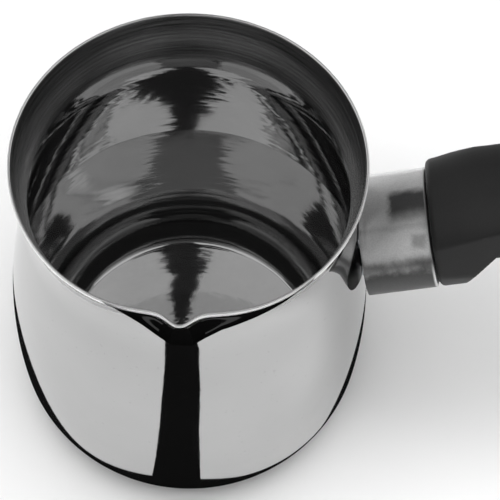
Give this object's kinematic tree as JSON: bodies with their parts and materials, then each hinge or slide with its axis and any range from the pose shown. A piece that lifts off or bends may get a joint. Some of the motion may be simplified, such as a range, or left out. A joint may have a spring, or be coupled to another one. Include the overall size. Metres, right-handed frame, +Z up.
{
  "type": "candle melting pot",
  "caption": "Small round-bellied steel melting and pouring pot with a flared rim, a pinched pouring lip and a rising black handle on a steel ferrule.",
  "frame": {"origin": "centre of the flat base, on the surface that the pot stands on", "axes": "+Z up along the pot's axis, +X towards the handle, the pouring lip near -Y"},
  "size_m": [0.2337, 0.0984, 0.113],
  "materials": {
    "polished_steel": "polished",
    "satin_steel": "satin",
    "zinc_steel": "satin",
    "black_phenolic": "matte"
  },
  "bodies": {
    "root": {"pot_body": "polished_steel", "handle_bracket": "zinc_steel", "weld_nut": "zinc_steel", "ferrule": "satin_steel", "grip": "black_phenolic", "flat_washer": "zinc_steel", "spring_washer": "zinc_steel", "tie_bolt": "zinc_steel"}
  },
  "joints": []
}
